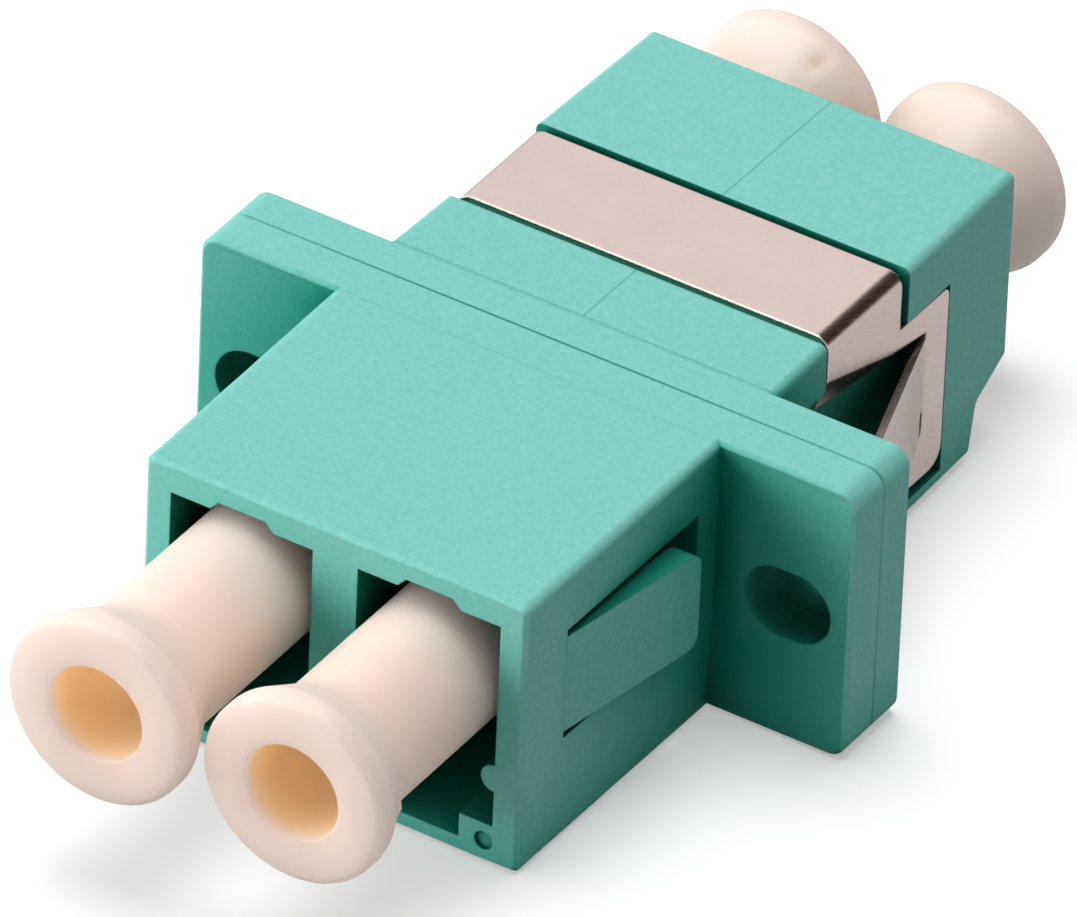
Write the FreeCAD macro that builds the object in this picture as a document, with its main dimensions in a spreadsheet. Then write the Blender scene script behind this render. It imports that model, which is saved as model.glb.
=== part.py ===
import FreeCAD, Part
import math
import os
import re

import Sketcher

os.makedirs("parts", exist_ok=True)

# Duplex fibre optic coupler for small 1.25 mm ferrule connectors, in millimetres.
# Two moulded halves are welded at the flange. A sheet steel clip rides on the rear half,
# a split sleeve lies in each channel and a dust plug closes each of the four ports.
# The origin is the middle of the two mounting slots, on the flange's rear (panel) face.
# X runs along the flange, +Y along the fibres to the rear, +Z up.

sizes = {
    # flange and its two mounting slots
    "housing_height": 9.2,
    "flange_front_thickness": 1.5,
    "flange_rear_thickness": 1.45,
    "flange_corner_radius": 0.6,
    "flange_edge": 0.12,
    "flange_end_wall": 0.65,
    "slot_length": 2.9,
    "slot_width": 2.3,
    "slot_body_gap": 0.95,
    "weld_chamfer": 0.045,
    # the two bodies, with draft as millimetres for each millimetre of length
    "front_body_length": 9.83,
    "mid_section_length": 2.82,
    "clip_groove_length": 4.58,
    "end_section_length": 5.99,
    "front_side_draft": 0.013,
    "rear_side_draft": 0.024,
    "rear_height_draft": 0.014,
    "body_edge_radius": 0.25,
    "face_edge": 0.15,
    # ports
    "port_pitch": 6.25,
    "port_width": 4.75,
    "side_wall": 1.0,
    "roof_thickness": 0.93,
    "floor_thickness": 0.54,
    "axis_below_ceiling": 2.32,
    "front_web_thickness": 0.9,
    "notch_width": 2.1,
    "notch_depth": 0.3,
    "notch_slope": 0.27,
    "notch_length": 4.0,
    "catch_width": 1.1,
    "catch_height": 0.8,
    "catch_length": 3.0,
    "rib_radius": 0.45,
    "rib_below_axis": 2.5,
    "ejector_diameter": 0.6,
    "ejector_depth": 0.12,
    "ejector_inset": 0.28,
    "ejector_height": 0.2,
    # sleeves and the tubes that hold them
    "sleeve_length": 6.4,
    "sleeve_bore": 1.25,
    "sleeve_wall": 0.185,
    "sleeve_slit": 0.3,
    "sleeve_clearance": 0.04,
    "sleeve_end_play": 0.05,
    "tube_wall": 0.4,
    "tube_lip": 0.5,
    "lip_bore": 1.4,
    # snap tongue in each side of the front body
    "tongue_shoulder_gap": 2.1,
    "tongue_length": 5.6,
    "tongue_height": 3.3,
    "tongue_rise": 0.9,
    "tongue_thickness": 0.8,
    "tongue_below_top": 2.15,
    "tongue_slit": 0.23,
    "tongue_end_gap": 1.1,
    "tongue_corner_radius": 0.45,
    "tongue_window_depth": 1.5,
    # recess in each side of the rear body
    "recess_floor_height": 0.64,
    "recess_below_top": 2.0,
    "recess_reach": 2.4,
    "shoulder_below_top": 1.5,
    "shoulder_height": 1.5,
    "pocket_skin": 0.12,
    "pocket_low": 2.25,
    "pocket_rear_margin": 1.3,
    # latch relief under the rear end
    "relief_length": 1.7,
    "relief_height": 2.8,
    "relief_wall_height": 1.9,
    "relief_wall_run": 0.35,
    "relief_edge_radius": 0.4,
    # spring clip
    "sheet_thickness": 0.25,
    "clip_bend_radius": 0.5,
    "clip_clearance": 0.05,
    "clip_gap": 0.32,
    "clip_bottom_gap": 0.38,
    "clip_corner_radius": 0.65,
    "clip_top_corner": 0.3,
    "strip_width": 0.94,
    "lip_run": 3.7,
    "lip_rise": 0.45,
    "lip_drop": 0.67,
    "lip_length": 1.15,
    "lip_angle": 20,
    "bottom_strip_width": 1.13,
    "rear_strip_width": 1.15,
    "finger_height": 3.6,
    "finger_root_height": 2.55,
    "finger_slope": 0.325,
    "finger_panel_gap": 2.0,
    "finger_slit": 0.3,
    "finger_corner": 0.5,
    "inner_corner": 0.7,
    # dust plugs
    "plug_diameter": 4.38,
    "plug_head_diameter": 6.0,
    "plug_head_thickness": 1.05,
    "plug_stand_out": 3.2,
    "plug_seat_gap": 0.1,
    "left_drawn_out": 4.1,
    "right_drawn_out": 3.7,
    "right_droop": 0.25,
    "plug_head_bore": 3.04,
    "plug_head_bore_depth": 5.5,
    "plug_tube_clearance": 0.42,
    "plug_socket_depth": 4.0,
    "plug_neck_length": 1.3,
    "plug_rim": 0.22,
}

# Positions that follow from the sizes. "front" is -Y and "rear" is +Y of the panel face.
derived = {
    "half_height": "housing_height / 2",
    "body_half": "port_pitch / 2 + port_width / 2 + side_wall",
    "slot_x": "body_half + slot_body_gap + slot_length / 2",
    "flange_half": "slot_x + slot_length / 2 + flange_end_wall",
    "parting": "-flange_rear_thickness",
    "front_shoulder": "parting - flange_front_thickness",
    "front_face": "front_shoulder - front_body_length",
    "groove_front": "mid_section_length",
    "groove_rear": "mid_section_length + clip_groove_length",
    "rear_face": "groove_rear + end_section_length",
    "middle": "(front_face + rear_face) / 2",
    "port_x": "port_pitch / 2",
    "port_inner": "port_x - port_width / 2",
    "port_outer": "port_x + port_width / 2",
    "ceiling": "half_height - roof_thickness",
    "port_bottom": "floor_thickness - half_height",
    "axis_height": "ceiling - axis_below_ceiling",
    "port_depth": "front_body_length + flange_front_thickness - front_web_thickness",
    "sleeve_diameter": "sleeve_bore + 2 * sleeve_wall",
    "tube_bore": "sleeve_diameter + 2 * sleeve_clearance",
    "tube_diameter": "tube_bore + 2 * tube_wall",
    "sleeve_reach": "sleeve_length / 2 + sleeve_end_play",
    "tube_reach": "sleeve_reach + tube_lip",
    "tongue_end": "front_shoulder - tongue_shoulder_gap",
    "tongue_root": "tongue_end - tongue_length",
    "tongue_top": "half_height - tongue_below_top",
    "tongue_bottom": "tongue_top - tongue_height",
    "tongue_root_x": "body_half - front_side_draft * (front_shoulder - tongue_root)",
    "recess_rear": "groove_rear + recess_reach",
    "recess_low": "recess_floor_height - half_height",
    "recess_high": "half_height - recess_below_top",
    "shoulder_top": "half_height - shoulder_below_top",
    "pocket_x": "port_outer + pocket_skin",
    "clip_front": "groove_front + clip_gap",
    "clip_band_rear": "groove_rear - clip_gap",
    "clip_rear": "recess_rear - clip_clearance",
    "clip_half": "body_half - rear_side_draft * clip_rear",
    "clip_inner": "clip_half - sheet_thickness",
    "clip_top": "half_height - rear_height_draft * clip_band_rear",
    "clip_bottom": "recess_low + clip_bottom_gap",
    "bottom_strip_top": "clip_bottom + bottom_strip_width",
    "rear_strip_front": "clip_rear - rear_strip_width",
    "plate_top": "recess_high - clip_clearance",
    "arm_low": "plate_top + lip_rise",
    "fold_end": "clip_front + lip_run",
    "finger_low": "bottom_strip_top + finger_slit",
    "finger_top": "finger_low + finger_height",
    "finger_length": "rear_strip_front - finger_panel_gap",
    "finger_rise": "finger_slope * finger_length",
    "plug_length": "port_depth + plug_stand_out - plug_seat_gap",
}

doc = FreeCAD.newDocument("fibre_coupler")
sheet = doc.addObject("Spreadsheet::Sheet", "sizes")
for row, (alias, number) in enumerate(sizes.items(), 1):
    sheet.set(f"A{row}", alias)
    sheet.set(f"B{row}", str(number))
    sheet.setAlias(f"B{row}", alias)
doc.recompute()

RIGHT_WAY = {"XY_Plane": 1, "XZ_Plane": -1, "YZ_Plane": 1}


def formula(text):
    """Turns a formula in plain names into an expression on the sheet's cells."""
    def cell(match):
        word = match.group(0)
        if word in derived:
            return f"({formula(derived[word])})"
        return f"{sheet.Name}.{word}" if word in sizes else word
    return re.sub(r"[a-z_]+", cell, text)


def value(text):
    """The number that a formula gives with the sheet's present sizes."""
    return float(sheet.evalExpression(formula(text)))


def bind(thing, name, text):
    thing.setExpression(name, formula(text))


def new_body(name):
    body = doc.addObject("PartDesign::Body", name)
    body.Label = name
    return body


def origin_feature(body, role):
    return next(feature for feature in body.Origin.OriginFeatures if feature.Role == role)


def new_sketch(body, name, plane, position="0"):
    """A sketch on one of the body's own planes, moved along X, Y or Z to the position."""
    sketch = body.newObject("Sketcher::SketchObject", name)
    sketch.AttachmentSupport = [(origin_feature(body, plane), "")]
    sketch.MapMode = "FlatFace"
    bind(sketch, "AttachmentOffset.Base.z", f"{RIGHT_WAY[plane]} * ({position})")
    return sketch


def dimension(sketch, text, kind, *where):
    """Adds one dimension to the sketch and ties it to its formula."""
    index = sketch.addConstraint(Sketcher.Constraint(kind, *where, value(text)))
    sketch.setExpression(f"Constraints[{index}]", formula(text))


def place_point(sketch, geometry, end, across, up):
    dimension(sketch, across, "DistanceX", -1, 1, geometry, end)
    dimension(sketch, up, "DistanceY", -1, 1, geometry, end)


def draw_outline(sketch, corners):
    """A closed outline of straight lines. Each corner is a pair of formulas."""
    points = [FreeCAD.Vector(value(across), value(up), 0) for across, up in corners]
    first = sketch.GeometryCount
    count = len(points)
    for index in range(count):
        sketch.addGeometry(Part.LineSegment(points[index], points[(index + 1) % count]))
    for index in range(count):
        following = first + (index + 1) % count
        sketch.addConstraint(Sketcher.Constraint("Coincident", first + index, 2, following, 1))
    for index, (across, up) in enumerate(corners):
        place_point(sketch, first + index, 1, across, up)


def draw_circle(sketch, across, up, diameter):
    centre = FreeCAD.Vector(value(across), value(up), 0)
    circle = sketch.addGeometry(Part.Circle(centre, FreeCAD.Vector(0, 0, 1), value(diameter) / 2))
    place_point(sketch, circle, 3, across, up)
    dimension(sketch, diameter, "Diameter", circle)


def draw_rounded(sketch, centres, radius):
    """The outline of a belt round equal circles, with their centres given anticlockwise as formulas."""
    points = [FreeCAD.Vector(value(across), value(up), 0) for across, up in centres]
    count = len(points)
    upward = FreeCAD.Vector(0, 0, 1)
    arcs = []
    for index, point in enumerate(points):
        arriving = (point - points[index - 1]).cross(upward)
        leaving = (points[(index + 1) % count] - point).cross(upward)
        start = math.atan2(arriving.y, arriving.x)
        turn = (math.atan2(leaving.y, leaving.x) - start) % (2 * math.pi)
        circle = Part.Circle(point, upward, value(radius))
        arcs.append(sketch.addGeometry(Part.ArcOfCircle(circle, start, start + turn)))
        place_point(sketch, arcs[-1], 3, *centres[index])
    for index, arc in enumerate(arcs):
        following = arcs[(index + 1) % count]
        run = Part.LineSegment(sketch.getPoint(arc, 2), sketch.getPoint(following, 1))
        line = sketch.addGeometry(run)
        sketch.addConstraint(Sketcher.Constraint("Tangent", arc, 2, line, 1))
        sketch.addConstraint(Sketcher.Constraint("Tangent", line, 2, following, 1))
    dimension(sketch, radius, "Radius", arcs[0])
    for arc in arcs[1:]:
        sketch.addConstraint(Sketcher.Constraint("Equal", arcs[0], arc))


def draw_slot(sketch, across, up, length, width):
    """An obround that lies along X."""
    reach = f"({length} - {width}) / 2"
    draw_rounded(sketch, [(f"{across} - {reach}", up), (f"{across} + {reach}", up)], f"{width} / 2")


def draw_rounded_block(sketch, half_width, half_depth, radius):
    """A rectangle about the sketch's origin, with round corners."""
    across = f"({half_width} - {radius})"
    up = f"({half_depth} - {radius})"
    signs = ((-1, -1), (1, -1), (1, 1), (-1, 1))
    draw_rounded(sketch, [(f"{right} * {across}", f"{top} * {up}") for right, top in signs], radius)


def extrude(body, kind, name, sketch, length, backward=False):
    """A Pad or Pocket of the sketch. A Pad follows the plane's direction, a Pocket goes against it."""
    feature = body.newObject(f"PartDesign::{kind}", name)
    feature.Profile = sketch
    feature.Reversed = backward
    bind(feature, "Length", length)
    return feature


def mirror(body, name, features):
    """Repeats the features on the other side of the YZ plane."""
    mirrored = body.newObject("PartDesign::Mirrored", name)
    mirrored.Originals = features
    mirrored.MirrorPlane = (origin_feature(body, "YZ_Plane"), [""])
    body.Tip = mirrored
    return mirrored


def dress(body, kind, name, size, wanted):
    """A Fillet or Chamfer on every edge of the body that the test picks out."""
    doc.recompute()
    base = body.Tip
    edges = [f"Edge{index}" for index, edge in enumerate(base.Shape.Edges, 1) if wanted(edge)]
    feature = body.newObject(f"PartDesign::{kind}", name)
    feature.Base = (base, edges)
    bind(feature, "Radius" if kind == "Fillet" else "Size", size)
    return feature


def near(number, text):
    return abs(number - value(text)) < 1e-4


def runs_along(edge, axis):
    """True for a straight edge that runs mainly along X (0), Y (1) or Z (2)."""
    if edge.Curve.TypeId != "Part::GeomLine":
        return False
    direction = edge.Vertexes[1].Point - edge.Vertexes[0].Point
    return abs(direction[axis]) > 0.99 * direction.Length


def lies_at(edge, axis, text):
    """True for an edge that lies wholly in the plane X, Y or Z = the formula."""
    box = edge.BoundBox
    low = (box.XMin, box.YMin, box.ZMin)[axis]
    high = (box.XMax, box.YMax, box.ZMax)[axis]
    return near(low, text) and near(high, text)


def draw_rectangle(sketch, left, bottom, right, top):
    draw_outline(sketch, [(left, bottom), (right, bottom), (right, top), (left, top)])


def housing_half(name, rearward, shoulder, face, thickness, narrowing, lowering):
    """One moulded half: its share of the flange and the drafted body, still without ports."""
    body = new_body(name)
    flange = new_sketch(body, f"{name}_flange_outline", "XZ_Plane", "parting")
    draw_rounded_block(flange, "flange_half", "half_height", "flange_corner_radius")
    extrude(body, "Pad", f"{name}_flange", flange, thickness, rearward)
    dress(body, "Chamfer", f"{name}_flange_rim", "flange_edge", lambda edge: lies_at(edge, 1, shoulder))
    root = new_sketch(body, f"{name}_body_root", "XZ_Plane", "parting")
    draw_rounded_block(root, "body_half", "half_height", "body_edge_radius")
    end = new_sketch(body, f"{name}_body_end", "XZ_Plane", face)
    draw_rounded_block(end, f"(body_half - {narrowing})", f"(half_height - {lowering})", "body_edge_radius")
    loft = body.newObject("PartDesign::AdditiveLoft", f"{name}_body")
    loft.Profile = root
    loft.Sections = [(end, [""])]
    loft.Ruled = True
    dress(body, "Chamfer", f"{name}_face_rim", "face_edge", lambda edge: lies_at(edge, 1, face))
    dress(body, "Chamfer", f"{name}_weld_line", "weld_chamfer", lambda edge: lies_at(edge, 1, "parting"))
    return body


def cut_channel(body, name, rearward, face, thickness, web_start):
    """Right-hand port, sleeve tube and mounting slot, then their mirror images."""
    features = []

    def add(kind, part, sketch, length, backward):
        features.append(extrude(body, kind, f"{name}_{part}", sketch, length, backward))

    port = new_sketch(body, f"{name}_port_outline", "XZ_Plane", face)
    draw_rectangle(port, "port_inner", "port_bottom", "port_outer", "ceiling")
    add("Pocket", "port", port, "port_depth", rearward)
    notch = new_sketch(body, f"{name}_notch_outline", "XZ_Plane", face)
    draw_outline(notch, [
        ("port_x - notch_width / 2", "ceiling"),
        ("port_x + notch_width / 2", "ceiling"),
        ("port_x + notch_width / 2 - notch_slope", "ceiling + notch_depth"),
        ("port_x - notch_width / 2 + notch_slope", "ceiling + notch_depth"),
    ])
    add("Pocket", "ceiling_notch", notch, "notch_length", rearward)
    catches = new_sketch(body, f"{name}_catch_outline", "XZ_Plane", face)
    catch_top = "port_bottom + catch_height"
    draw_rectangle(catches, "port_inner", "port_bottom", "port_inner + catch_width", catch_top)
    draw_rectangle(catches, "port_outer - catch_width", "port_bottom", "port_outer", catch_top)
    add("Pad", "latch_catches", catches, "catch_length", not rearward)
    ribs = new_sketch(body, f"{name}_rib_outline", "XZ_Plane", face)
    for wall in ("port_inner", "port_outer"):
        draw_circle(ribs, wall, "axis_height - rib_below_axis - rib_radius", "2 * rib_radius")
    add("Pad", "guide_ribs", ribs, "port_depth", not rearward)
    tube = new_sketch(body, f"{name}_tube_outline", "XZ_Plane", "parting")
    draw_circle(tube, "port_x", "axis_height", "tube_diameter")
    add("Pad", "sleeve_tube", tube, f"{web_start} + tube_reach", rearward)
    seat = new_sketch(body, f"{name}_sleeve_outline", "XZ_Plane", "parting")
    draw_circle(seat, "port_x", "axis_height", "tube_bore")
    add("Pocket", "sleeve_seat", seat, f"{web_start} + sleeve_reach", not rearward)
    lip = new_sketch(body, f"{name}_lip_outline", "XZ_Plane", "parting")
    draw_circle(lip, "port_x", "axis_height", "lip_bore")
    add("Pocket", "lip_bore", lip, f"{web_start} + tube_reach", not rearward)
    slot = new_sketch(body, f"{name}_slot_outline", "XZ_Plane", "parting")
    draw_slot(slot, "slot_x", "0", "slot_length", "slot_width")
    add("Pocket", "mounting_slot", slot, thickness, not rearward)
    return features


def front_housing():
    """Front half, with an ejector mark beside each port and a snap tongue in each side."""
    name = "front_housing"
    body = housing_half(
        name, False, "front_shoulder", "front_face", "flange_front_thickness",
        "front_side_draft * front_body_length", "0",
    )
    features = cut_channel(body, name, False, "front_face", "flange_front_thickness", "parting - middle")
    mark = new_sketch(body, "ejector_outline", "XZ_Plane", "front_face")
    draw_circle(mark, "port_outer - ejector_inset", "port_bottom + ejector_height", "ejector_diameter")
    features.append(extrude(body, "Pocket", "ejector_mark", mark, "ejector_depth"))
    window = new_sketch(body, "tongue_window_outline", "YZ_Plane", "body_half")
    draw_rectangle(
        window,
        "tongue_root", "tongue_bottom - tongue_slit",
        "tongue_end + tongue_end_gap", "tongue_top + tongue_slit",
    )
    features.append(extrude(body, "Pocket", "tongue_window", window, "tongue_window_depth"))
    tongue = new_sketch(body, "tongue_outline", "XY_Plane", "tongue_bottom")
    draw_outline(tongue, [
        ("tongue_root_x - tongue_thickness", "tongue_root"),
        ("tongue_root_x", "tongue_root"),
        ("tongue_root_x + tongue_rise", "tongue_end"),
        ("tongue_root_x + tongue_rise - tongue_thickness", "tongue_end"),
    ])
    features.append(extrude(body, "Pad", "snap_tongue", tongue, "tongue_height"))
    mirror(body, "front_housing_pair", features)

    def tongue_corner(edge):
        ends = lies_at(edge, 2, "tongue_top") or lies_at(edge, 2, "tongue_bottom")
        return ends and runs_along(edge, 0) and lies_at(edge, 1, "tongue_end")
    dress(body, "Fillet", "tongue_corners", "tongue_corner_radius", tongue_corner)
    return body


def rear_housing():
    """Rear half, with the clip's groove and side recesses and a latch relief under its end."""
    name = "rear_housing"
    body = housing_half(
        name, True, "0", "rear_face", "flange_rear_thickness",
        "rear_side_draft * rear_face", "rear_height_draft * rear_face",
    )
    features = cut_channel(body, name, True, "rear_face", "flange_rear_thickness", "middle - parting")
    shoulder = new_sketch(body, "shoulder_outline", "XZ_Plane", "0")
    draw_outline(shoulder, [
        ("pocket_x", "recess_low"),
        ("body_half + side_wall", "recess_low"),
        ("body_half + side_wall", "shoulder_top"),
        ("body_half", "shoulder_top"),
        ("pocket_x", "shoulder_top - shoulder_height"),
    ])
    features.append(extrude(body, "Pocket", "side_shoulder", shoulder, "groove_front"))
    recess = new_sketch(body, "recess_outline", "XZ_Plane", "groove_front")
    draw_rectangle(
        recess,
        "clip_inner - clip_clearance", "recess_low",
        "body_half + side_wall", "recess_high",
    )
    features.append(extrude(body, "Pocket", "plate_recess", recess, "recess_rear - groove_front"))
    pocket = new_sketch(body, "finger_pocket_outline", "YZ_Plane", "body_half")
    draw_outline(pocket, [
        ("groove_front", "pocket_low - half_height"),
        ("recess_rear - pocket_rear_margin", "pocket_low - half_height"),
        ("recess_rear - pocket_rear_margin", "recess_high"),
        ("groove_rear", "recess_high"),
        ("groove_rear", "arm_low"),
        ("groove_front", "arm_low"),
    ])
    features.append(extrude(body, "Pocket", "finger_pocket", pocket, "body_half - pocket_x"))
    mirror(body, "rear_housing_pair", features)
    groove = new_sketch(body, "groove_outline", "XZ_Plane", "groove_front")
    draw_outline(groove, [
        ("-body_half - side_wall", "recess_high"),
        ("clip_clearance - clip_inner", "recess_high"),
        ("clip_clearance - clip_inner", "clip_top - sheet_thickness - clip_clearance"),
        ("clip_inner - clip_clearance", "clip_top - sheet_thickness - clip_clearance"),
        ("clip_inner - clip_clearance", "recess_high"),
        ("body_half + side_wall", "recess_high"),
        ("body_half + side_wall", "half_height + side_wall"),
        ("-body_half - side_wall", "half_height + side_wall"),
    ])
    extrude(body, "Pocket", "clip_groove", groove, "clip_groove_length")
    relief = new_sketch(body, "relief_outline", "YZ_Plane", "-body_half")
    draw_outline(relief, [
        ("rear_face - relief_length - relief_wall_run", "-half_height"),
        ("rear_face - relief_length", "relief_wall_height - half_height"),
        ("rear_face", "relief_height - half_height"),
        ("rear_face + side_wall", "relief_height - half_height"),
        ("rear_face + side_wall", "-half_height - side_wall"),
        ("rear_face - relief_length - relief_wall_run", "-half_height - side_wall"),
    ])
    extrude(body, "Pocket", "latch_relief", relief, "2 * body_half", True)

    def relief_bend(edge):
        lower = lies_at(edge, 1, "rear_face - relief_length - relief_wall_run")
        return runs_along(edge, 0) and (lower or lies_at(edge, 1, "rear_face - relief_length"))
    dress(body, "Fillet", "relief_bends", "relief_edge_radius", relief_bend)
    return body


def spring_clip():
    """Bent sheet steel: a band over the top and two side plates, each with a flared finger."""
    body = new_body("spring_clip")
    band = new_sketch(body, "band_outline", "XZ_Plane", "clip_front")
    draw_outline(band, [
        ("-clip_half", "arm_low"),
        ("-clip_inner", "arm_low"),
        ("-clip_inner", "clip_top - sheet_thickness"),
        ("clip_inner", "clip_top - sheet_thickness"),
        ("clip_inner", "arm_low"),
        ("clip_half", "arm_low"),
        ("clip_half", "clip_top"),
        ("-clip_half", "clip_top"),
    ])
    extrude(body, "Pad", "band", band, "clip_band_rear - clip_front", True)

    def outer_bend(edge):
        return runs_along(edge, 1) and lies_at(edge, 2, "clip_top")

    def inner_bend(edge):
        return runs_along(edge, 1) and lies_at(edge, 2, "clip_top - sheet_thickness")
    dress(body, "Fillet", "outer_bends", "clip_bend_radius", outer_bend)
    dress(body, "Fillet", "inner_bends", "clip_bend_radius - sheet_thickness", inner_bend)
    plate = new_sketch(body, "plate_outline", "YZ_Plane", "clip_inner")
    draw_outline(plate, [
        ("clip_front", "arm_low"),
        ("fold_end", "plate_top - lip_drop"),
        ("rear_strip_front", "plate_top - strip_width"),
        ("rear_strip_front", "bottom_strip_top"),
        ("clip_front", "bottom_strip_top"),
        ("clip_front", "clip_bottom"),
        ("clip_rear", "clip_bottom"),
        ("clip_rear", "plate_top"),
        ("clip_band_rear", "plate_top"),
        ("clip_band_rear", "arm_low"),
    ])
    features = [extrude(body, "Pad", "side_plate", plate, "sheet_thickness")]
    # the lip is drawn about the fold line's front end and curls in towards the housing
    lip = new_sketch(body, "lip_outline", "YZ_Plane", "clip_half")
    bind(lip, "AttachmentOffset.Base.x", "clip_front")
    bind(lip, "AttachmentOffset.Base.y", "arm_low")
    fold = FreeCAD.Vector(value("lip_run"), -value("lip_rise + lip_drop"), 0)
    lip.AttachmentOffset.Rotation = FreeCAD.Rotation(fold, value("lip_angle"))
    draw_outline(lip, [("0", "0"), ("0", "-lip_length"), ("lip_run", "-lip_rise - lip_drop")])
    features.append(extrude(body, "Pad", "curled_lip", lip, "sheet_thickness", True))
    finger = new_sketch(body, "finger_outline", "XY_Plane", "finger_low")
    draw_outline(finger, [
        ("clip_inner", "rear_strip_front"),
        ("clip_half", "rear_strip_front"),
        ("clip_half + finger_rise", "finger_panel_gap"),
        ("clip_inner + finger_rise", "finger_panel_gap"),
    ])
    features.append(extrude(body, "Pad", "finger", finger, "finger_height"))
    slit = new_sketch(body, "finger_slit_outline", "YZ_Plane", "body_half + side_wall")
    draw_rectangle(
        slit,
        "rear_strip_front - finger_slit", "finger_low - finger_slit",
        "rear_strip_front", "finger_top - finger_root_height",
    )
    features.append(extrude(body, "Pocket", "finger_slit", slit, "2 * side_wall"))
    mirror(body, "clip_pair", features)

    def corner(edge, along, height):
        return runs_along(edge, 0) and lies_at(edge, 1, along) and lies_at(edge, 2, height)
    dress(body, "Fillet", "lower_corners", "clip_corner_radius",
          lambda edge: corner(edge, "clip_rear", "clip_bottom"))
    dress(body, "Fillet", "upper_corners", "clip_top_corner",
          lambda edge: corner(edge, "clip_rear", "plate_top"))
    dress(body, "Fillet", "inner_corners", "inner_corner",
          lambda edge: corner(edge, "rear_strip_front", "bottom_strip_top"))
    dress(body, "Fillet", "finger_corners", "finger_corner",
          lambda edge: corner(edge, "rear_strip_front - finger_slit", "finger_low"))
    return body


def split_sleeve(name, side):
    """Slit ceramic tube that lines up two ferrules in one channel."""
    body = new_body(name)
    ring = new_sketch(body, f"{name}_ring", "XZ_Plane", "sleeve_length / 2")
    draw_circle(ring, "0", "0", "sleeve_diameter")
    draw_circle(ring, "0", "0", "sleeve_bore")
    extrude(body, "Pad", f"{name}_tube", ring, "sleeve_length")
    slit = new_sketch(body, f"{name}_slit_outline", "XZ_Plane", "-sleeve_length / 2")
    draw_rectangle(slit, "-sleeve_slit / 2", "0", "sleeve_slit / 2", "sleeve_diameter")
    extrude(body, "Pocket", f"{name}_slit", slit, "sleeve_length")
    bind(body, "Placement.Base.x", f"{side} * port_x")
    bind(body, "Placement.Base.y", "middle")
    bind(body, "Placement.Base.z", "axis_height")
    return body


def dust_plug(name, side, rearward, drawn_out="0", droop="0"):
    """Turned-looking moulded plug, drawn with its inner end at the origin and its head towards -Y.
    A front plug is drawn out of its port, and one that is loose hangs a little low."""
    body = new_body(name)
    profile = new_sketch(body, f"{name}_profile", "XY_Plane")
    draw_outline(profile, [
        ("tube_diameter / 2 + plug_tube_clearance", "0"),
        ("plug_diameter / 2", "0"),
        ("plug_diameter / 2", "plug_head_thickness + plug_neck_length - plug_length"),
        ("plug_head_diameter / 2 - plug_rim", "plug_head_thickness - plug_length"),
        ("plug_head_diameter / 2", "plug_head_thickness - plug_rim - plug_length"),
        ("plug_head_diameter / 2", "-plug_length"),
        ("plug_head_bore / 2", "-plug_length"),
        ("plug_head_bore / 2", "plug_head_bore_depth - plug_length"),
        ("0", "plug_head_bore_depth - plug_length"),
        ("0", "-plug_socket_depth"),
        ("tube_diameter / 2 + plug_tube_clearance", "-plug_socket_depth"),
    ])
    turned = body.newObject("PartDesign::Revolution", f"{name}_turned")
    turned.Profile = profile
    turned.ReferenceAxis = (profile, ["V_Axis"])
    turned.Angle = 360

    def front_rim(edge):
        if edge.Curve.TypeId != "Part::GeomCircle" or not lies_at(edge, 1, "-plug_length"):
            return False
        return near(edge.Curve.Radius, "plug_head_diameter / 2")
    dress(body, "Chamfer", f"{name}_rim", "plug_rim", front_rim)
    bind(body, "Placement.Base.x", f"{side} * port_x")
    bind(body, "Placement.Base.z", f"axis_height - {droop}")
    if rearward:
        body.Placement.Rotation = FreeCAD.Rotation(FreeCAD.Vector(0, 0, 1), 180)
        bind(body, "Placement.Base.y", "rear_face - port_depth + plug_seat_gap")
    else:
        bind(body, "Placement.Base.y", f"front_face + port_depth - plug_seat_gap - {drawn_out}")
    return body


sub_parts = [
    front_housing(),
    rear_housing(),
    spring_clip(),
    split_sleeve("split_sleeve_left", -1),
    split_sleeve("split_sleeve_right", 1),
    dust_plug("dust_plug_front_left", -1, False, "left_drawn_out"),
    dust_plug("dust_plug_front_right", 1, False, "right_drawn_out", "right_droop"),
    dust_plug("dust_plug_rear_left", -1, True),
    dust_plug("dust_plug_rear_right", 1, True),
]
doc.recompute()

for thing in doc.Objects:
    if "Invalid" in thing.State or "Error" in thing.State:
        raise RuntimeError(f"{thing.Name} did not build: {thing.State}")
for sub_part in sub_parts:
    shape = sub_part.Shape
    if shape.isNull() or not shape.isValid() or len(shape.Solids) != 1:
        raise RuntimeError(f"{sub_part.Label} is not one sound solid")
for sub_part in sub_parts:
    sub_part.Shape.exportStep(f"parts/{sub_part.Label}.step")
    print(f"{sub_part.Label}: {sub_part.Shape.Volume:.2f} cubic mm")
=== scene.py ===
import math

import bpy
import numpy as np
from mathutils import Matrix, Vector


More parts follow.
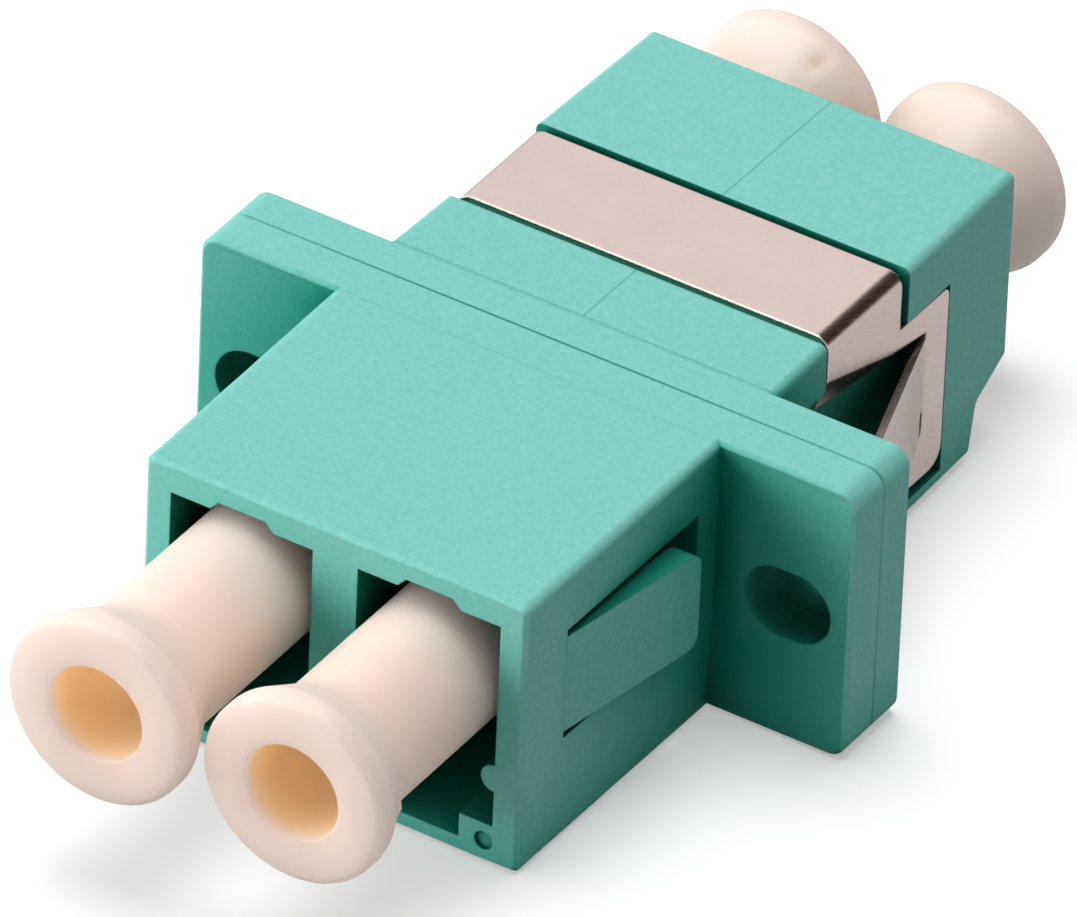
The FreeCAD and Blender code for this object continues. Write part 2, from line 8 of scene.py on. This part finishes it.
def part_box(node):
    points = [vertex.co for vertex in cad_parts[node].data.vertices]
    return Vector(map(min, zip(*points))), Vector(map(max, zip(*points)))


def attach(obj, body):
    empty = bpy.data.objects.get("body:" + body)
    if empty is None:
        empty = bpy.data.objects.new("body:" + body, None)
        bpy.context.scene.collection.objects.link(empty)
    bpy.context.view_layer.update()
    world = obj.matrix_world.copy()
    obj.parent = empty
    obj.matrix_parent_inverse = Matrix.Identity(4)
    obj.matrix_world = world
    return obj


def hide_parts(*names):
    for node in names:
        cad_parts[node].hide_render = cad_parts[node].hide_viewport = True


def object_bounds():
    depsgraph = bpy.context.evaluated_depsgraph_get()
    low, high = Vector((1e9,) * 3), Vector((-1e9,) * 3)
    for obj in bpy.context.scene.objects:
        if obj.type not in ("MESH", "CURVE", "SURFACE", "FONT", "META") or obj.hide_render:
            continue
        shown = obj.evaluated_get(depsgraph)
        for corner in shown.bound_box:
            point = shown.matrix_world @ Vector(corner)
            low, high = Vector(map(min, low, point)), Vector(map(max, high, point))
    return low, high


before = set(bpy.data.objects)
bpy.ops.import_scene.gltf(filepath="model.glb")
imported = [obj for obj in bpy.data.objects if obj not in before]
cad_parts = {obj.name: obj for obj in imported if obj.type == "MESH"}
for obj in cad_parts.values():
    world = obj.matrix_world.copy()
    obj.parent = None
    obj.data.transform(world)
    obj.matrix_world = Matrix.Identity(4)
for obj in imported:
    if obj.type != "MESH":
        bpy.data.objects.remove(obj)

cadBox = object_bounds()
scene = bpy.context.scene
mm = 0.001


def linearColour(hexCode):
    # sRGB hex to linear: the straight foot below 0.04045, the 2.4 power above it
    parts = np.array([int(hexCode[i:i + 2], 16) for i in (1, 3, 5)]) / 255
    parts = np.where(parts <= 0.04045, parts / 12.92, ((parts + 0.055) / 1.055) ** 2.4)
    return (*parts.tolist(), 1.0)


def addNode(tree, kind, settings=None, **links):
    # one node: plain settings are attributes, the links are sockets by name, or by number as in _0
    node = tree.nodes.new(kind)
    for name, setting in (settings or {}).items():
        setattr(node, name, setting)
    for name, given in links.items():
        socket = node.inputs[int(name[1:]) if name[1:].isdigit() else name.replace("_", " ")]
        if isinstance(given, bpy.types.NodeSocket):
            tree.links.new(given, socket)
        else:
            socket.default_value = given
    return node


def reckon(tree, operation, *values):
    # arithmetic on sockets and numbers
    links = {f"_{i}": value for i, value in enumerate(values)}
    return addNode(tree, "ShaderNodeMath", {"operation": operation}, **links).outputs[0]


def spread(tree, value, span, onto=(0.0, 1.0), curve="LINEAR"):
    # a value's span laid onto another
    node = addNode(tree, "ShaderNodeMapRange", {"interpolation_type": curve}, Value=value,
                   From_Min=span[0], From_Max=span[1], To_Min=onto[0], To_Max=onto[1])
    return node.outputs["Result"]


def blendColours(tree, share, first, second):
    return addNode(tree, "ShaderNodeMix", {"data_type": "RGBA"}, Factor=share,
                   _6=first, _7=second).outputs[2]


def blendVectors(tree, share, first, second):
    return addNode(tree, "ShaderNodeMix", {"data_type": "VECTOR"}, _0=share,
                   _4=first, _5=second).outputs[1]


def patches(tree, place, sizeMm, detail=3.0):
    return addNode(tree, "ShaderNodeTexNoise", Vector=place, Scale=1 / (sizeMm * mm),
                   Detail=detail).outputs["Fac"]


def openness(tree, reachMm, samples=6, local=False):
    # how open a point lies to what is within reach, 1 in the clear
    return addNode(tree, "ShaderNodeAmbientOcclusion", {"samples": samples, "only_local": local},
                   Distance=reachMm * mm).outputs["AO"]


def easedEdges(tree, edgeMm):
    # edges rounded in the shading alone
    return addNode(tree, "ShaderNodeBevel", {"samples": 6}, Radius=edgeMm * mm).outputs[0]


def newMaterial(name):
    material = bpy.data.materials.new(name)
    material.use_nodes = True
    material.node_tree.nodes.clear()
    return material, material.node_tree


def finishMaterial(tree, shader):
    output = addNode(tree, "ShaderNodeOutputMaterial")
    tree.links.new(shader.outputs[0], output.inputs["Surface"])


# ABS moulded in a spark-eroded tool: matt, with a fine even grain, faint flow clouds and thin
# witness lines where the inserts of the tool met; shade is painted into its hollows
aquaLook = {
    "base": "#7ecfc5",
    "cloud": "#92dad3",
    "paintedRichShade": "#38c1ad",          # painted shade: the colour loses its grey where a wall stands near
    "shade": "#0f7a68",         # painted shade, darker where walls face each other
    "depth": "#06543f",         # painted shade, darker still in the ports and pockets
    "line": "#2f8a7c",
    "cloudMm": 6.0,
    "grainMm": 0.20,            # the real grain is near 0.05 mm, drawn coarser so that it shows
    "grainDetail": 4.0,
    "grainSpan": (0.34, 0.66),  # the part of the noise that makes the mottle
    "grainShare": 0.65,         # how much of the mottle is grain, the rest is cloud
    "grainDepth": 0.16,
    "grainHeightMm": 0.02,
    "hollowMm": 9.0,            # walls of the same half this near count as facing each other, for the painted shade
    "pocketMm": 3.0,            # and so does anything this near
    "freeSpan": (0.78, 0.99),   # openness in the hollow, from painted rich shade to plain
    "apartSpan": (0.32, 0.92),  # openness near by, from painted rich shade to plain
    "airySpan": (0.5, 0.95),    # openness in the hollow, from painted shade to painted rich shade
    "reachedSpan": (0.12, 0.5),     # openness near by, from painted deepest shade to painted shade
    "edgeMm": 0.10,             # how far an edge is eased
    "cornerSpan": (0.7, 0.9),   # openness at an edge, from inner corner to outer edge
    "roughness": 0.42,
    "roughSpread": 0.05,
    "ior": 1.53,
    "gloss": 0.03,
    "lineMm": 0.045,            # half width of a witness line
    "lineCore": 0.4,            # share of it at full strength
    "lineDepth": 0.40,          # how much of the line colour shows
    "lineTop": 4.3,             # mm up, witness lines show on the top only
    "seamStart": 0.0,           # mm along the part, the centre seam is on the rear half
    "flangeFront": -2.95,       # mm along the part, the faint line at the front of the flange
    "frontDepth": 0.12,
    "weldAt": -1.45,            # mm along the part, the weld between the halves
    "weldMm": 0.06,
    "weldDepth": 0.75,
    "weldFade": (3.0, 10.0),    # mm from the middle, the weld is tighter towards the ends
    "weldLeft": 0.35,
}


def witnessLines(tree, axes):
    # how much line colour shows: the centre seam at x = 0 behind the flange, one line across at
    # each face of the flange, and the weld, which is darkest in the middle
    look = aquaLook
    fromMiddle = reckon(tree, "ABSOLUTE", axes["X"])
    ahead = reckon(tree, "LESS_THAN", axes["Y"], look["seamStart"] * mm)
    fromSeam = reckon(tree, "ADD", fromMiddle, ahead)
    fromPanel = reckon(tree, "ABSOLUTE", axes["Y"])
    nearest = reckon(tree, "MINIMUM", fromSeam, fromPanel)
    lineSpan = (look["lineMm"] * mm * look["lineCore"], look["lineMm"] * mm)
    thin = spread(tree, nearest, lineSpan, (look["lineDepth"], 0.0), "SMOOTHSTEP")
    atFront = reckon(tree, "COMPARE", axes["Y"], look["flangeFront"] * mm, look["lineMm"] * mm)
    faint = reckon(tree, "MULTIPLY", atFront, look["frontDepth"])
    pastWeld = reckon(tree, "SUBTRACT", axes["Y"], look["weldAt"] * mm)
    fromWeld = reckon(tree, "ABSOLUTE", pastWeld)
    weldSpan = (look["weldMm"] * mm * look["lineCore"], look["weldMm"] * mm)
    weld = spread(tree, fromWeld, weldSpan, (look["weldDepth"], 0.0), "SMOOTHSTEP")
    fadeSpan = [edge * mm for edge in look["weldFade"]]
    tighter = spread(tree, fromMiddle, fadeSpan, (1.0, look["weldLeft"]))
    welded = reckon(tree, "MULTIPLY", weld, tighter)
    onFlange = reckon(tree, "MAXIMUM", welded, faint)
    drawn = reckon(tree, "MAXIMUM", thin, onFlange)
    onTop = reckon(tree, "GREATER_THAN", axes["Z"], look["lineTop"] * mm)
    return reckon(tree, "MULTIPLY", drawn, onTop)


def makeAqua():
    look = aquaLook
    material, tree = newMaterial("absMouldedAqua")
    place = addNode(tree, "ShaderNodeTexCoord").outputs["Object"]
    axes = addNode(tree, "ShaderNodeSeparateXYZ", Vector=place).outputs
    cloud = patches(tree, place, look["cloudMm"])
    grain = patches(tree, place, look["grainMm"], look["grainDetail"])
    sandy = spread(tree, grain, look["grainSpan"])
    mottle = addNode(tree, "ShaderNodeMix", _0=look["grainShare"], _2=cloud, _3=sandy).outputs[0]
    tint = blendColours(tree, mottle, linearColour(look["base"]), linearColour(look["cloud"]))
    # painted shade: the colour turns richer, darker and deeper where walls stand near, by
    # occlusion
    hollow = openness(tree, look["hollowMm"], local=True)
    pocket = openness(tree, look["pocketMm"])
    free = spread(tree, hollow, look["freeSpan"])
    apart = spread(tree, pocket, look["apartSpan"])
    lone = reckon(tree, "MINIMUM", free, apart)
    paintedRichShade = blendColours(tree, lone, linearColour(look["paintedRichShade"]), tint)
    airy = spread(tree, hollow, look["airySpan"])
    shaded = blendColours(tree, airy, linearColour(look["shade"]), paintedRichShade)
    reached = spread(tree, pocket, look["reachedSpan"])
    # painted deepest shade in the ports and pockets
    paintedDeep = blendColours(tree, reached, linearColour(look["depth"]), shaded)
    colour = blendColours(tree, witnessLines(tree, axes), paintedDeep, linearColour(look["line"]))
    # edges that stand out are eased, inner corners stay sharp: near walls shut the light out there
    flat = addNode(tree, "ShaderNodeNewGeometry").outputs["Normal"]
    corner = openness(tree, 2 * look["edgeMm"], samples=4)
    standing = spread(tree, corner, look["cornerSpan"])
    facing = blendVectors(tree, standing, flat, easedEdges(tree, look["edgeMm"]))
    bump = addNode(tree, "ShaderNodeBump", Strength=look["grainDepth"],
                   Distance=look["grainHeightMm"] * mm, Height=grain, Normal=facing)
    rough = spread(tree, grain, (0.0, 1.0), (look["roughness"] - look["roughSpread"],
                                             look["roughness"] + look["roughSpread"]))
    shader = addNode(tree, "ShaderNodeBsdfPrincipled", Base_Color=colour, Roughness=rough,
                     Normal=bump.outputs["Normal"], IOR=look["ior"],
                     Specular_IOR_Level=look["gloss"])
    finishMaterial(tree, shader)
    return material


# Rolled stainless spring steel: grey with a warm cast, fine streaks from the rolls, a soft broken
# sheen rather than a mirror
steelLook = {
    "base": "#dfccc5",
    "streak": "#c8b5ac",
    "streakMm": 0.10,           # rolling lines are near 0.02 mm, drawn coarser so that they show
    "streakLength": 9.0,        # how many times longer than wide
    "streakTurn": 62.0,         # degrees from the length of the band
    "streakDepth": 0.03,
    "streakHeightMm": 0.01,
    "mottleMm": 1.6,
    "roughness": 0.25,
    "roughSpread": 0.08,
    "edgeMm": 0.10,             # the sheared edge is rolled over and shines
}


def makeSteel():
    look = steelLook
    material, tree = newMaterial("rolledSpringSteel")
    place = addNode(tree, "ShaderNodeTexCoord").outputs["Object"]
    # the strip laid flat again: over the top the run is x, down both arms it is -z
    axes = addNode(tree, "ShaderNodeSeparateXYZ", Vector=place).outputs
    run = reckon(tree, "SUBTRACT", axes["X"], axes["Z"])
    strip = addNode(tree, "ShaderNodeCombineXYZ", X=run, Y=axes["Y"])
    stretched = addNode(tree, "ShaderNodeMapping", {"vector_type": "TEXTURE"},
                        Vector=strip.outputs[0],
                        Rotation=(0.0, 0.0, math.radians(look["streakTurn"])),
                        Scale=(look["streakLength"], 1.0, 1.0))
    streak = patches(tree, stretched.outputs[0], look["streakMm"])
    mottle = patches(tree, place, look["mottleMm"])
    worn = reckon(tree, "MULTIPLY", streak, mottle)
    colour = blendColours(tree, worn, linearColour(look["base"]), linearColour(look["streak"]))
    rough = spread(tree, streak, (0.0, 1.0), (look["roughness"] - look["roughSpread"],
                                              look["roughness"] + look["roughSpread"]))
    bump = addNode(tree, "ShaderNodeBump", Strength=look["streakDepth"],
                   Distance=look["streakHeightMm"] * mm, Height=streak,
                   Normal=easedEdges(tree, look["edgeMm"]))
    shader = addNode(tree, "ShaderNodeBsdfPrincipled", Base_Color=colour, Metallic=1.0,
                     Roughness=rough, Normal=bump.outputs["Normal"])
    finishMaterial(tree, shader)
    return material


# Zirconia ground to size: milky white with fine rings from the wheel and a clean gloss
ceramicLook = {
    "base": "#efeee8",
    "ring": "#e2e0d8",
    "ringMm": 0.12,             # for each radian, so a ring is about 0.75 mm
    "waveRate": 20,             # the wave node's radians for each unit of scale
    "waver": 1.5,
    "roughness": 0.22,
    "ior": 2.1,
}


def makeCeramic():
    look = ceramicLook
    material, tree = newMaterial("groundZirconia")
    place = addNode(tree, "ShaderNodeTexCoord").outputs["Object"]
    rings = addNode(tree, "ShaderNodeTexWave", {"bands_direction": "Y"}, Vector=place,
                    Scale=1 / (look["ringMm"] * mm) / look["waveRate"],
                    Distortion=look["waver"], Detail=2.0)
    colour = blendColours(tree, rings.outputs["Fac"], linearColour(look["base"]),
                          linearColour(look["ring"]))
    shader = addNode(tree, "ShaderNodeBsdfPrincipled", Base_Color=colour,
                     Roughness=look["roughness"], IOR=look["ior"])
    finishMaterial(tree, shader)
    return material


# Polyethylene, injection moulded: soft ivory that lets light in, so edges glow; the bore's peach
# comes partly from that light and partly from a painted warm glow
ivoryLook = {
    "base": "#ffebe0",
    "cloud": "#ffe7d9",
    # painted warm glow inside the bore, standing for light through its thin wall
    "paintedBoreGlow": "#ffe5c5",
    # a darker brown tint about the gate pit
    "scar": "#c9a27c",
    "glowMm": 2.2,              # how far light spreads under the skin
    "reach": (1.0, 1.0, 1.0),   # all colours of light get as far
    "boreGlowMm": 3.4,          # the thin wall about the bore lets it right through
    "boreReach": (1.0, 0.7, 0.45),  # and red light gets furthest
    "cloudMm": 2.5,
    "grainMm": 0.20,            # finer in the real thing, drawn coarser so that it shows
    "grainDepth": 0.05,
    "grainHeightMm": 0.02,
    "roughness": 0.46,
    "ior": 1.51,
}


def makeIvory():
    look = ivoryLook
    material, tree = newMaterial("polyethyleneMouldedIvory")
    place = addNode(tree, "ShaderNodeTexCoord").outputs["Object"]
    cloud = patches(tree, place, look["cloudMm"])
    grain = patches(tree, place, look["grainMm"])
    inside = addNode(tree, "ShaderNodeAttribute", {"attribute_name": "inside"}).outputs["Fac"]
    scar = addNode(tree, "ShaderNodeAttribute", {"attribute_name": "scar"}).outputs["Fac"]
    tint = blendColours(tree, cloud, linearColour(look["base"]), linearColour(look["cloud"]))
    # the bore gets its painted warm glow
    paintedDeep = blendColours(tree, inside, tint, linearColour(look["paintedBoreGlow"]))
    colour = blendColours(tree, scar, paintedDeep, linearColour(look["scar"]))
    bump = addNode(tree, "ShaderNodeBump", Strength=look["grainDepth"],
                   Distance=look["grainHeightMm"] * mm, Height=grain)
    glow = spread(tree, inside, (0.0, 1.0), (look["glowMm"] * mm, look["boreGlowMm"] * mm))
    reach = blendVectors(tree, inside, look["reach"], look["boreReach"])
    shader = addNode(tree, "ShaderNodeBsdfPrincipled", {"subsurface_method": "BURLEY"},
                     Base_Color=colour, Roughness=look["roughness"], IOR=look["ior"],
                     Normal=bump.outputs["Normal"], Subsurface_Weight=1.0,
                     Subsurface_Radius=reach, Subsurface_Scale=glow)
    finishMaterial(tree, shader)
    return material


aqua = makeAqua()
steel = makeSteel()
ceramic = makeCeramic()
ivory = makeIvory()
print("materials made:", aqua.name, steel.name, ceramic.name, ivory.name)


# the moulded halves, the clip and the sleeves keep the shape of the frame
dressed = {
    "front_housing": aqua,
    "rear_housing": aqua,
    "spring_clip": steel,
    "split_sleeve_left": ceramic,
    "split_sleeve_right": ceramic,
}
for nodeName, material in dressed.items():
    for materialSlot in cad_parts[nodeName].material_slots:
        materialSlot.material = material
print("housings, clip and sleeves dressed")


# one dust plug, in mm from its inner end (0) to its head
plugShape = {
    "length": 13.53,
    "shaftRadius": 2.19,
    "headRadius": 3.0,
    "headThickness": 0.7,
    "neckDrop": 1.7,            # how far along the back of the head leans
    "coveRadius": 2.1,
    "boreRadius": 1.52,
    "boreDepth": 5.5,
    "socketRadius": 1.67,
    "socketDepth": 4.0,
    # roundings
    "boreFloor": 0.2,
    "boreMouth": 0.07,
    "faceRim": 0.26,
    "backRim": 0.45,
    "shaftEnd": 0.2,
    "socketEdge": 0.1,
    # grid
    "around": 128,
    "rounding": 7,              # steps in a rounded corner
    "ringStep": 0.25,           # mm between rings at most
    # the bore's painted warm glow
    "insideRadius": 1.6,        # points nearer the axis lie inside
    "insideRamp": 0.4,          # mm behind the face until it is full
    "socketMargin": 0.5,        # mm past the socket's floor, from there inward it is left out
    # gate scar, back is mm behind the head's rim
    "pit": {"back": 0.45, "radius": 2.80, "depth": 0.13, "width": 0.27},
    "nub": {"back": 0.75, "radius": 2.67, "height": 0.10, "width": 0.2, "aside": 0.34},
    "scarWidth": 0.25,
    "scarTint": 0.6,
}


def roundedProfile(corners, steps):
    # corners are (radius, along, rounding): each sharp corner becomes an arc that touches both of
    # its straight runs at rounding / tan(half the angle between them)
    points = np.array([corner[:2] for corner in corners], float)
    rounding = np.array([corner[2] for corner in corners], float)
    parts = [points[:1]]
    for i in range(1, len(points) - 1):
        back = points[i - 1] - points[i]
        ahead = points[i + 1] - points[i]
        back = back / np.linalg.norm(back)
        ahead = ahead / np.linalg.norm(ahead)
        half = math.acos(np.clip(back @ ahead, -1, 1)) / 2
        reach = rounding[i] / math.tan(half)
        inward = (back + ahead) / np.linalg.norm(back + ahead)
        middle = points[i] + inward * rounding[i] / math.sin(half)
        first = points[i] + back * reach - middle
        last = points[i] + ahead * reach - middle
        turn = math.pi - 2 * half
        share = np.linspace(0, 1, steps)[:, None]
        arc = (np.sin((1 - share) * turn) * first + np.sin(share * turn) * last) / math.sin(turn)
        parts.append(middle + arc)
    parts.append(points[-1:])
    return np.concatenate(parts)


def dustPlug(nodeName, bodyName, gateAngle):
    # a profile of radius over length, turned about the plug's axis: x = r cos a, z = r sin a
    shape = plugShape
    neckEnd = shape["length"] - shape["headThickness"]
    boreEnd = shape["length"] - shape["boreDepth"]
    profile = roundedProfile([
        (0, boreEnd, 0),
        (shape["boreRadius"], boreEnd, shape["boreFloor"]),
        (shape["boreRadius"], shape["length"], shape["boreMouth"]),
        (shape["headRadius"], shape["length"], shape["faceRim"]),
        (shape["headRadius"], neckEnd, shape["backRim"]),
        (shape["shaftRadius"], neckEnd - shape["neckDrop"], shape["coveRadius"]),
        (shape["shaftRadius"], 0, shape["shaftEnd"]),
        (shape["socketRadius"], 0, shape["socketEdge"]),
        (shape["socketRadius"], shape["socketDepth"], shape["socketEdge"]),
        (0, shape["socketDepth"], 0),
    ], shape["rounding"])
    # extra rings on the long straight runs keep the grid even
    stretch = np.linalg.norm(np.diff(profile, axis=0), axis=1)
    travelled = np.concatenate([[0], np.cumsum(stretch)])
    evenly = np.arange(0, travelled[-1], shape["ringStep"])
    wanted = np.unique(np.concatenate([travelled, evenly]))
    ring = np.stack([np.interp(wanted, travelled, profile[:, k]) for k in (0, 1)], 1)[1:-1]
    angle = np.arange(shape["around"]) * 2 * math.pi / shape["around"]
    radius = np.repeat(ring[:, :1], shape["around"], 1)
    along = np.repeat(ring[:, 1:], shape["around"], 1)
    turned = np.repeat(angle[None], len(ring), 0)
    # gate scar in the cove: a shallow pit with a nub beside it, both bells of the distance to
    # their middle, pushed along the profile's outward normal
    pit, nub = shape["pit"], shape["nub"]
    gap = ((turned - gateAngle + math.pi) % (2 * math.pi) - math.pi) * radius
    pitAway = np.sqrt(gap ** 2 + (along - neckEnd + pit["back"]) ** 2
                      + (radius - pit["radius"]) ** 2)
    nubAway = np.sqrt((gap + nub["aside"]) ** 2 + (along - neckEnd + nub["back"]) ** 2
                      + (radius - nub["radius"]) ** 2)
    climb = np.gradient(ring, axis=0)
    slope = climb / np.linalg.norm(climb, axis=1)[:, None]
    push = (nub["height"] * np.exp(-(nubAway / nub["width"]) ** 2)
            - pit["depth"] * np.exp(-(pitAway / pit["width"]) ** 2))
    radius = radius - slope[:, 1:] * push
    along = along + slope[:, :1] * push
    # set in its port, the head outward
    low, high = (np.array(corner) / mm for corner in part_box(nodeName))
    centreX, centreZ = (low[0] + high[0]) / 2, (low[2] + high[2]) / 2
    rearward = "rear" in nodeName
    y = low[1] + along if rearward else high[1] - along
    grid = np.stack([centreX + radius * np.cos(turned), y, centreZ + radius * np.sin(turned)], 2)
    ends = [[centreX, (low[1] + p) if rearward else (high[1] - p), centreZ]
            for p in (profile[0, 1], profile[-1, 1])]
    vertices = np.concatenate([grid.reshape(-1, 3), ends]) * mm
    # quads between the rings and a fan at each end, wound the other way on the front plugs
    rows, around = radius.shape
    index = np.arange(rows * around).reshape(rows, around)
    following = np.roll(index, -1, 1)
    quads = np.stack([index[:-1], following[:-1], following[1:], index[1:]], 2).reshape(-1, 4)
    firstFan = np.stack([np.full(around, rows * around), following[0], index[0]], 1)
    lastFan = np.stack([np.full(around, rows * around + 1), index[-1], following[-1]], 1)
    if not rearward:
        quads, firstFan, lastFan = quads[:, ::-1], firstFan[:, ::-1], lastFan[:, ::-1]
    mesh = bpy.data.meshes.new(nodeName + "_turned")
    mesh.from_pydata(vertices, [], quads.tolist() + firstFan.tolist() + lastFan.tolist())
    # how deep inside the bore a point lies, where its glow is painted, and how near the gate scar
    inBore = ring[:, :1] < shape["insideRadius"]
    depth = np.clip((shape["length"] - along) / shape["insideRamp"], 0, 1) * inBore
    depth = np.where(along < shape["socketDepth"] + shape["socketMargin"], 0, depth)
    scar = np.exp(-(pitAway / shape["scarWidth"]) ** 2) * shape["scarTint"]
    for name, values in (("inside", depth), ("scar", scar)):
        layer = mesh.attributes.new(name, "FLOAT", "POINT")
        perPoint = np.concatenate([values.ravel(), [values[0, 0], 0]])
        layer.data.foreach_set("value", perPoint.astype(np.float32))
    mesh.shade_smooth()
    mesh.materials.append(ivory)
    piece = bpy.data.objects.new(nodeName + "_turned", mesh)
    scene.collection.objects.link(piece)
    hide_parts(nodeName)
    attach(piece, bodyName)


# each plug sits turned its own way, in radians from the right
gateAngles = {"front_left": 4.4, "front_right": 0.05, "rear_left": 1.08, "rear_right": 4.9}
for port, gateAngle in gateAngles.items():
    dustPlug("dust_plug_" + port, "plug_" + port, gateAngle)
print("dust plugs turned")


# pale studio floor, white to the camera, that still takes the shadow
floorLook = {
    "size": 1.6,                # m
    "drop": 0.00002,            # m under the part
    "seen": "#f4f4f4",
    "colour": "#b4b4b4",        # what it gives back to the part
    "lift": 0.36,
    "glossLift": 0.34,          # what the steel sees of it
}


def layFloor():
    look = floorLook
    reach = look["size"] / 2
    level = cadBox[0][2] - look["drop"]
    corners = [(x * reach, y * reach, level) for x, y in ((-1, -1), (1, -1), (1, 1), (-1, 1))]
    mesh = bpy.data.meshes.new("studioFloor")
    mesh.from_pydata(corners, [], [(0, 1, 2, 3)])
    floor = bpy.data.objects.new("studioFloor", mesh)
    scene.collection.objects.link(floor)
    material, tree = newMaterial("mattePaper")
    rays = addNode(tree, "ShaderNodeLightPath").outputs
    tone = blendColours(tree, rays["Is Camera Ray"], linearColour(look["colour"]),
                        linearColour(look["seen"]))
    paper = addNode(tree, "ShaderNodeBsdfDiffuse", Color=tone)
    direct = reckon(tree, "MAXIMUM", rays["Is Camera Ray"], rays["Is Transmission Ray"])
    directLift = reckon(tree, "MULTIPLY", direct, look["lift"])
    lift = reckon(tree, "MULTIPLY_ADD", rays["Is Glossy Ray"], look["glossLift"], directLift)
    glow = addNode(tree, "ShaderNodeEmission", Color=(1, 1, 1, 1), Strength=lift)
    lit = addNode(tree, "ShaderNodeAddShader", _0=paper.outputs[0], _1=glow.outputs[0])
    finishMaterial(tree, lit)
    mesh.materials.append(material)


layFloor()


# soft studio light: a key panel from the left, one from the front left and one overhead
lamps = {
    "keySoftbox": {"at": (-0.352, -0.160, 0.104), "size": 0.24, "power": 0.72},
    "frontPanel": {"at": (-0.230, -0.420, 0.130), "size": 0.22, "power": 0.70},
    "topPanel": {"at": (-0.05, 0.06, 0.40), "size": 0.25, "power": 1.00},
}


def hangLamps():
    for name, lamp in lamps.items():
        light = bpy.data.lights.new(name, "AREA")
        light.shape = "SQUARE"
        light.size = lamp["size"]
        light.energy = lamp["power"]
        holder = bpy.data.objects.new(name, light)
        holder.location = lamp["at"]
        toPart = Vector((0, 0, 0)) - Vector(lamp["at"])
        holder.rotation_euler = toPart.to_track_quat("-Z", "Y").to_euler()
        scene.collection.objects.link(holder)


hangLamps()


# a surround that is white to the camera and in reflections, and dim as light
surround = {
    "ambient": 0.24,
    "screen": (0.38, 0.72, 0.58),   # the way to the middle of the screen
    "screenInner": 30.0,            # degrees about that way
    "screenOuter": 40.0,
    "screenColour": "#33201b",
}


def makeSurround():
    look = surround
    world = bpy.data.worlds.new("studioSurround")
    world.use_nodes = True
    tree = world.node_tree
    tree.nodes.clear()
    rays = addNode(tree, "ShaderNodeLightPath").outputs
    mirrored = reckon(tree, "MAXIMUM", rays["Is Camera Ray"], rays["Is Glossy Ray"])
    seen = reckon(tree, "MAXIMUM", mirrored, rays["Is Transmission Ray"])
    strength = spread(tree, seen, (0.0, 1.0), (look["ambient"], 1.0))
    # a dark screen behind the object that only reflections see, it draws the bend of the clip
    way = addNode(tree, "ShaderNodeTexCoord").outputs["Generated"]
    toScreen = addNode(tree, "ShaderNodeVectorMath", {"operation": "DOT_PRODUCT"}, _0=way,
                       _1=Vector(look["screen"]).normalized()).outputs["Value"]
    edge = [math.cos(math.radians(look[k])) for k in ("screenOuter", "screenInner")]
    onScreen = spread(tree, toScreen, edge, curve="SMOOTHSTEP")
    screen = reckon(tree, "MULTIPLY", onScreen, rays["Is Glossy Ray"])
    shown = blendColours(tree, screen, (1, 1, 1, 1), linearColour(look["screenColour"]))
    sky = addNode(tree, "ShaderNodeBackground", Color=shown, Strength=strength)
    output = addNode(tree, "ShaderNodeOutputWorld")
    tree.links.new(sky.outputs[0], output.inputs["Surface"])
    scene.world = world


makeSurround()
scene.view_settings.view_transform = "Standard"
print("floor and lamps set")


# the photograph's view, for an image of 1077 by 917
cameraView = {
    "aim": (-0.593, -1.100, 0.0),   # mm
    "distance": 679.07,             # mm
    "azimuth": 31.193,              # degrees
    "elevation": 35.923,
    "roll": 2.526,
    "lens": 800.46,
    "sensor": 36,
    "clip": (0.01, 10),             # m
}


def placeCamera():
    view = cameraView
    azimuth, elevation, roll = (math.radians(view[k]) for k in ("azimuth", "elevation", "roll"))
    outward = Vector((math.sin(azimuth) * math.cos(elevation),
                      -math.cos(azimuth) * math.cos(elevation), math.sin(elevation)))
    level = Vector((math.cos(azimuth), math.sin(azimuth), 0))
    upright = outward.cross(level)
    right = math.cos(roll) * level + math.sin(roll) * upright
    up = outward.cross(right)
    camera = bpy.data.objects.new("photoCamera", bpy.data.cameras.new("photoCamera"))
    camera.data.sensor_fit = "HORIZONTAL"
    camera.data.sensor_width = view["sensor"]
    camera.data.lens = view["lens"]
    camera.data.clip_start, camera.data.clip_end = view["clip"]
    turn = Matrix((right, up, outward)).transposed().to_4x4()
    stand = (Vector(view["aim"]) + outward * view["distance"]) * mm
    camera.matrix_world = Matrix.Translation(stand) @ turn
    scene.collection.objects.link(camera)
    scene.camera = camera


placeCamera()
print("camera set")
